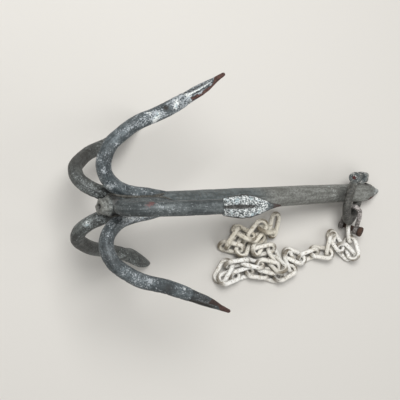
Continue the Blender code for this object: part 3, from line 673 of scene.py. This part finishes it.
def bead_grid(name, order):
    """A bead in the corner between an arm and the shank: where circles of the two radii cross, at cos(angle) =
    (R^2 + d^2 - r^2) / 2Rd round the shank from the arm, out along one side, round the crotch and back."""
    angle, slid = ARMS[name][0], ARMS[name][3]
    flat = even(catmull(ARM_LINE, 12), 400)
    count = int(150 * FINE)
    swing = np.linspace(-1, 1, count)
    along = CROTCH_AT + BEAD_RUN * np.abs(swing) ** 1.3
    bend = np.argmin(flat[:, 0])
    out = np.interp(-along, -flat[:bend, 0], flat[:bend, 1])
    arm_r = ROOT_R + (ARM_R - ROOT_R) * np.clip((ARM_LINE[0][0] - along) / ROOT_LENGTH, 0, 1)
    cosine = (WELDED_SHANK_R**2 + out**2 - arm_r**2) / (2 * WELDED_SHANK_R * out)
    turn = np.arccos(np.clip(cosine, -1, 1)) * np.sign(swing)
    path = even(on_anchor(along + slid, WELDED_SHANK_R + 0.2, np.radians(angle) + turn), count)
    ahead = unit(np.gradient(path, axis=0))
    away = unit(path - TIP - ((path - TIP) @ ALONG)[:, None] * ALONG)
    across = unit(np.cross(ahead, away))
    x, y = round_section(int(16 * FINE))
    ends = np.sin(np.linspace(0, np.pi, count)) ** 0.4
    radius = (2.0 + 0.5 * value_noise(path, 0.005, 70 + order)) * ends + 0.2
    points = swept(path, across, np.cross(across, ahead), x * radius[:, None] * MM, y * radius[:, None] * MM)
    return roughened(points, path[:, None], [(3, 0.3)], (2.2, 0.3), 80 + order)


beads = [(bead_grid(name, order), False) for order, name in enumerate(ARMS)]
bead_points = np.concatenate([capped(g) for g, _ in beads])
piece("arm_root_welds", beads, "anchor", None, BEAD_STEEL,
      {"bar": bead_points, "zinc": np.full(len(bead_points), 0.05), "dark": np.full(len(bead_points), 0.35),
       "rust": np.full(len(bead_points), 0.05)})

# ---- chain -----------------------------------------------------------------------------------------------------------


def link_grid(node_name, seed):
    """Round wire round a stadium line, in the frame of the link's own solid: its longest and middle directions. The
    wire is a little thinner than the solid's, so that links that turn keep clear. Dirt and painted contact shade lie
    where the links rub, and painted shade darkens the sides and undersides of the wire."""
    co = np.unique(np.round(places(frame["nodes"][node_name].data), 6), axis=0)
    middle = co.mean(0)
    _, _, axes = np.linalg.svd(co - middle, full_matrices=False)
    long_way, short_way = axes[0], axes[1]
    normal = np.cross(long_way, short_way)
    turn = np.linspace(-np.pi / 2, np.pi / 2, 40)
    end = np.stack([LINK_HALF_STRAIGHT + LINK_BEND_R * np.cos(turn), LINK_BEND_R * np.sin(turn)], axis=1)
    flat = even(np.concatenate([end, -end, end[:1]]), int(88 * FINE) + 1)[:-1]
    path = middle + (flat[:, :1] * long_way + flat[:, 1:] * short_way) * MM
    ahead = unit(np.roll(path, -1, axis=0) - np.roll(path, 1, axis=0))
    inward = np.cross(normal, ahead)
    x, y = round_section(int(22 * FINE))
    swell = 0.95 + 0.03 * bell(flat[:, 0], 0, 2.2) * (flat[:, 1] > 0)  # the weld stands a little fuller
    wire = (WIRE_R * swell * MM)[:, None]
    points = swept(path, np.repeat(normal[None], len(path), 0), inward, x * wire, y * wire)
    points = roughened(points, path[:, None], [(5, 0.07), (2, 0.03)], (2.0, 0.12), seed)
    # the rubbed ends carry dirt and painted contact shade; the sides and undersides of the wire get painted shade
    rubbed_and_shaded = 0.8 * bell(np.abs(flat[:, 0]), LINK_HALF_STRAIGHT + LINK_BEND_R, 3.5)[:, None] * (y < 0)
    under = 0.85 * smooth_step(0.5, -0.3, unit(points - path[:, None])[..., 2])
    return points, np.maximum(rubbed_and_shaded, under)


body_of = {n: b for b, members in frame["record"]["behaviour"]["bodies"].items() for n in members}
for number in range(1, 31):
    solid = f"chain_link_{number:02d}"
    points, dirt_and_shade = link_grid(solid, 60 + number)
    x, y, _ = points.mean((0, 1))
    cream = smooth_step(0.11, 0.06, x) * smooth_step(-0.11, -0.055, y)  # the top of the heap has yellowed
    piece(solid + "_coated", [(points, True)], body_of[solid], solid, COATING,
          {"dark": dirt_and_shade.reshape(-1), "cream": np.full(dirt_and_shade.size, cream)})

# ---- shackles --------------------------------------------------------------------------------------------------------

BOW_X = np.array((-math.cos(BOW_ELEVATION), 0, math.sin(BOW_ELEVATION)))
BOW_Z = np.cross(BOW_X, BOW_Y)


def ear_grid(centre, axis, start, radius, half, hole, sides, boxy=0.0):
    """A short drilled boss: a rectangle with rounded corners turned round the pin's axis, from bore to rim and back; a
    boxy one swells by that share of its radius four times round."""
    r = min(1.2, half * 0.35)
    c = np.linspace(0, np.pi / 2, 6)
    along = np.concatenate([[-half + 0.4, -half], -half + r - r * np.cos(c), half - r + r * np.sin(c),
                            [half, half - 0.4]])
    out = np.concatenate([[hole, hole + 0.4], radius - r + r * np.sin(c), radius - r + r * np.cos(c),
                          [hole + 0.5, hole]])
    turn = 2 * np.pi * np.arange(sides) / sides
    share = smooth_step(hole, radius, out)[:, None]
    return turned(centre, axis, start, along * MM, out[:, None] * (1 - boxy * share * np.cos(4 * turn)) * MM, sides)


def bar_grid(line, normal, radius, rows, sides, seed, full=0.0):
    """Round bar along a line that stays in one plane, drawn down where it enters its ears; on the outside of the bend
    it may be fuller by so many millimetres."""
    path = even(line, rows)
    share = np.linspace(0, 1, rows)
    ahead = unit(np.gradient(path, axis=0))
    across = np.repeat(unit(normal)[None], rows, 0)
    x, y = round_section(sides)
    radius = (radius * (0.72 + 0.28 * smooth_step(0, 0.09, np.minimum(share, 1 - share))))[:, None]
    outer = np.cross(across, ahead)
    belly = full * np.sin(np.pi * np.clip((share - 0.15) / 0.6, 0, 1))[:, None] ** 2
    away = unit(path - path.mean(0))
    sign = np.sign(np.sum(outer * away, axis=1))[:, None]
    points = swept(path, across, outer, x * radius * MM, (y * radius + belly * sign * (y * sign > 0) * np.abs(y)) * MM)
    return roughened(points, path[:, None], [(8, 0.3), (3, 0.15)], (2.5, 0.3), seed)


def on_bow(x, y):
    """Place in metres of x and y in mm, along the bow shackle's pin and along its legs."""
    x, y = (np.asarray(v, float)[..., None] for v in (x, y))
    return EYE + (BOW_X * (BOW_HALF + x) + BOW_Y * y) * MM


def bar_masks(grids, wear):
    """Masks of a shackle: its own points for the streaks, and the wear that a function gives for each point."""
    points = np.concatenate([g.reshape(-1, 3) if closed else capped(g) for g, closed in grids])
    return {"bar": points, **wear(points)}


def bow_wear(points):
    """Darker toward the bottom of the bow; pale ears, with salt round the pin's end and on top."""
    up = (points - EYE) @ BOW_Y / MM
    ears = smooth_step(8, 18, up)
    blot = value_noise(points, 0.007, 9)
    from_pin = np.linalg.norm(np.cross(points - on_bow(0, BOW_EAR_UP), BOW_X), axis=1) / MM
    halo = smooth_step(7.0, 4.0, from_pin) * ((points - EYE) @ BOW_X > BOW_HALF * MM) + smooth_step(20, 25, up)
    return {"dark": 0.42 * smooth_step(6, -14, up) + 0.2 * blot, "zinc": 0.16 * ears + 0.12 * blot + 0.22 * halo,
            "slate": 0.8 * ears, "rust": 0.2 - 0.1 * ears + 0.2 * value_noise(points, 0.010, 10)}


def little_wear(points):
    """Paler than the bow, rusting at the ears."""
    down = smooth_step(20, 2, (points - BOLT_AT) @ LITTLE_Y / MM)
    return {"dark": 0.5 * down, "zinc": 0.28 - 0.2 * down, "rust": 0.2 + 0.12 * down}


arc = np.linspace(0, np.pi, 13)
front_ear, rear_ear = BOW_HALF - FRONT_EAR_IN, BOW_HALF + REAR_EAR_OUT
bow_x = np.concatenate([[front_ear, BOW_HALF - 12.5, BOW_HALF - 7, BOW_HALF - 2], BOW_HALF * np.cos(arc),
                        [-BOW_HALF, -BOW_HALF, -rear_ear]])
bow_y = np.concatenate([[BOW_EAR_UP, 14, 4, -5], -BOW_STRAIGHT_DOWN - BOW_HALF * np.sin(arc), [0, 13, BOW_EAR_UP]])
bow_line = catmull(on_bow(bow_x, bow_y), 8)
bow_grids = [(bar_grid(bow_line, BOW_Z, BOW_BAR_R, int(170 * FINE), int(40 * FINE), 101, 2.6), False)]
for leg, boxy, half in ((front_ear, 0.0, EAR_HALF), (-rear_ear, 0.09, EAR_HALF + 1.5)):
    ear = ear_grid(on_bow(leg, BOW_EAR_UP), BOW_X, BOW_Y, EAR_R, half, 2.8, int(56 * FINE), boxy)
    ear = roughened(ear, on_bow(leg, BOW_EAR_UP), [(6, 0.35), (3, 0.2)], (2.5, 0.35), 110 + int(half))
    bow_grids.append((ear, True))
piece("bow_shackle_forging", bow_grids, "bow_shackle_body", "bow_shackle", SHACKLE_STEEL,
      bar_masks(bow_grids, bow_wear))
pin_from, pin_to = on_bow(-rear_ear - EAR_HALF - 0.4, BOW_EAR_UP), on_bow(front_ear + EAR_HALF + 0.4, BOW_EAR_UP)
pin_length = np.linalg.norm(pin_to - pin_from) / MM
dome = np.linspace(0, np.pi / 2, 5)  # the pin's ends are peened over
pin_along = np.concatenate([1 - np.cos(dome), np.linspace(2, pin_length - 2, 12), pin_length - 1 + np.cos(dome[::-1])])
pin_out = np.concatenate([WORN_PIN_R * np.sin(dome) + 0.05, np.full(12, WORN_PIN_R),
                          WORN_PIN_R * np.sin(dome[::-1]) + 0.05])
pin = [(turned(pin_from, pin_to - pin_from, BOW_Y, pin_along * MM, pin_out * MM, int(32 * FINE)), False)]
piece("bow_shackle_plain_pin", pin, "bow_shackle_body", "bow_shackle_pin", SHACKLE_STEEL,
      bar_masks(pin, bow_wear))
end_along, end_out = np.array([(-1.2, 2.4), (-0.2, 2.4), (0.1, 1.8), (0.25, 0.8)]).T * MM
pin_end = turned(pin_to, BOW_X, BOW_Y, end_along, end_out, int(32 * FINE))
piece("bow_shackle_rusted_pin_end", [(pin_end, False)], "bow_shackle_body", None, PIN_RUST)

LITTLE_Y = unit(np.array((-0.123, 0.77, 0.626)))
LITTLE_Z = unit(np.cross(np.array((0.672, -0.399, 0.623)), LITTLE_Y))
LITTLE_X = np.cross(LITTLE_Y, LITTLE_Z)
BOLT_AT = ORIGIN + LITTLE_BOLT * MM


def on_little(x, y):
    """Place in metres of x and y in mm, along the small shackle's bolt and along its legs."""
    x, y = (np.asarray(v, float)[..., None] for v in (x, y))
    return BOLT_AT + (LITTLE_X * x + LITTLE_Y * y) * MM


high = LITTLE_LENGTH - LITTLE_HALF
little_x = np.concatenate([[-LITTLE_HALF] * 3, -LITTLE_HALF * np.cos(arc), [LITTLE_HALF] * 3])
little_y = np.concatenate([[0, 9, 18], high + LITTLE_HALF * np.sin(arc), [18, 9, 0]])
little_grids = [(bar_grid(catmull(on_little(little_x, little_y), 8), LITTLE_Z, LITTLE_BAR_R, int(150 * FINE),
                          int(28 * FINE), 131), False)]
for side in (-1, 1):
    ear = ear_grid(on_little(side * LITTLE_HALF, 0), LITTLE_X, LITTLE_Y, LITTLE_EAR_R, LITTLE_EAR_HALF, BOLT_R + 0.3,
                   int(44 * FINE))
    little_grids.append((ear, True))
piece("small_shackle_forging", little_grids, "small_shackle_body", "small_shackle", LITTLE_STEEL,
      bar_masks(little_grids, little_wear))


def bolt_grids():
    """Threaded shank of the bolt (radius plus a saw-tooth of angle and distance), and a worn six-sided head."""
    sides = int(48 * FINE)
    turn = np.arange(sides) / sides
    start, end = -LITTLE_HALF - 4.2, LITTLE_HALF + 6
    along = np.linspace(start, end, int(120 * FINE))
    thread = (along[:, None] / THREAD_PITCH + turn[None]) % 1.0
    out = BOLT_R - THREAD_DEPTH * np.abs(2 * thread - 1)
    out[0] *= 0.75
    head = LITTLE_HALF + LITTLE_EAR_HALF + 0.4
    flat = np.cos(np.pi / 6) / np.cos((2 * np.pi * turn) % (np.pi / 3) - np.pi / 6)
    worn = 0.4 * flat + 0.6 * flat.mean()
    rise = np.array([0.0, 0.5, 1.6, BOLT_HEAD_H - 2.6, BOLT_HEAD_H - 1.2, BOLT_HEAD_H - 0.4, BOLT_HEAD_H])
    size = np.array([0.9, 1.0, 1.07, 1.08, 1.0, 0.84, 0.5])
    head_out = BOLT_HEAD_R * size[:, None] * (worn[None] * (1 - (1 - size[:, None]) * 0.6) + (1 - size[:, None]) * 0.55)
    rod = turned(BOLT_AT, LITTLE_X, LITTLE_Y, along * MM, out * MM, sides)
    top = turned(BOLT_AT, LITTLE_X, LITTLE_Y, (head + rise) * MM, head_out * MM, sides)
    return [(rod, False), (roughened(top, BOLT_AT + LITTLE_X * (head + 3) * MM, [(3, 0.2)], (2, 0.2), 140), False)]


piece("small_shackle_rusted_bolt", bolt_grids(), "small_shackle_body", "small_shackle_bolt", RUST)

# ---- stage -----------------------------------------------------------------------------------------------------------

floor_mesh = bpy.data.meshes.new("floor")
floor_mesh.from_pydata([(-9, -9, 0), (9, -9, 0), (9, 9, 0), (-9, 9, 0)], [], [(0, 1, 2, 3)])
floor_mesh.materials.append(studio_paper("pale_studio_paper"))
floor = bpy.data.objects.new("floor", floor_mesh)
bpy.context.scene.collection.objects.link(floor)


def lamp(name, place, target, size, power):
    """A square area light at a place, turned to face a target."""
    data = bpy.data.lights.new(name, "AREA")
    data.shape, data.size, data.energy = "SQUARE", size, power
    made = bpy.data.objects.new(name, data)
    bpy.context.scene.collection.objects.link(made)
    aim = Vector(target) - Vector(place)
    made.matrix_world = Matrix.Translation(place) @ aim.to_track_quat("-Z", "Y").to_matrix().to_4x4()


lamp("overhead_softbox", (-0.35, 0.6, 1.5), (0, 0, 0.05), 0.7, 20)
lamp("fill_softbox", (0.9, -0.7, 1.2), (0, 0, 0.05), 1.2, 5)
world = bpy.data.worlds.new("studio")
bpy.context.scene.world = world
world.use_nodes = True
world.node_tree.nodes.clear()
add = functools.partial(node, world.node_tree)
seen = add("LightPath", out="Is Camera Ray")
for ray in ("Is Glossy Ray", "Is Transmission Ray"):
    seen = add("Math", {0: seen, 1: add("LightPath", out=ray)}, operation="MAXIMUM")
soft_light = add("Background", {"Color": "#f2f2f2", "Strength": 0.42})
pale_wall = add("Background", {"Color": "#e1ded8", "Strength": 1.0})
add("OutputWorld", {"Surface": add("MixShader", {0: seen, 1: soft_light, 2: pale_wall})})

# camera: a long lens high above the floor on the crown's side, looking down along the anchor
RIGHT, DOWN, AHEAD = (0.93805, -0.02234, 0.34592), (-0.0346, -0.99895, 0.02923), (0.34491, -0.0393, -0.93776)
camera_data = bpy.data.cameras.new("camera")
camera_data.sensor_width = 36
camera_data.lens = 75.05
camera = bpy.data.objects.new("camera", camera_data)
bpy.context.scene.collection.objects.link(camera)
turn = Matrix((RIGHT, [-v for v in DOWN], [-v for v in AHEAD])).transposed()
camera.matrix_world = Matrix.Translation((-0.4278, 0.0313, 1.0599)) @ turn.to_4x4()
bpy.context.scene.camera = camera
bpy.context.scene.view_settings.view_transform = "Standard"
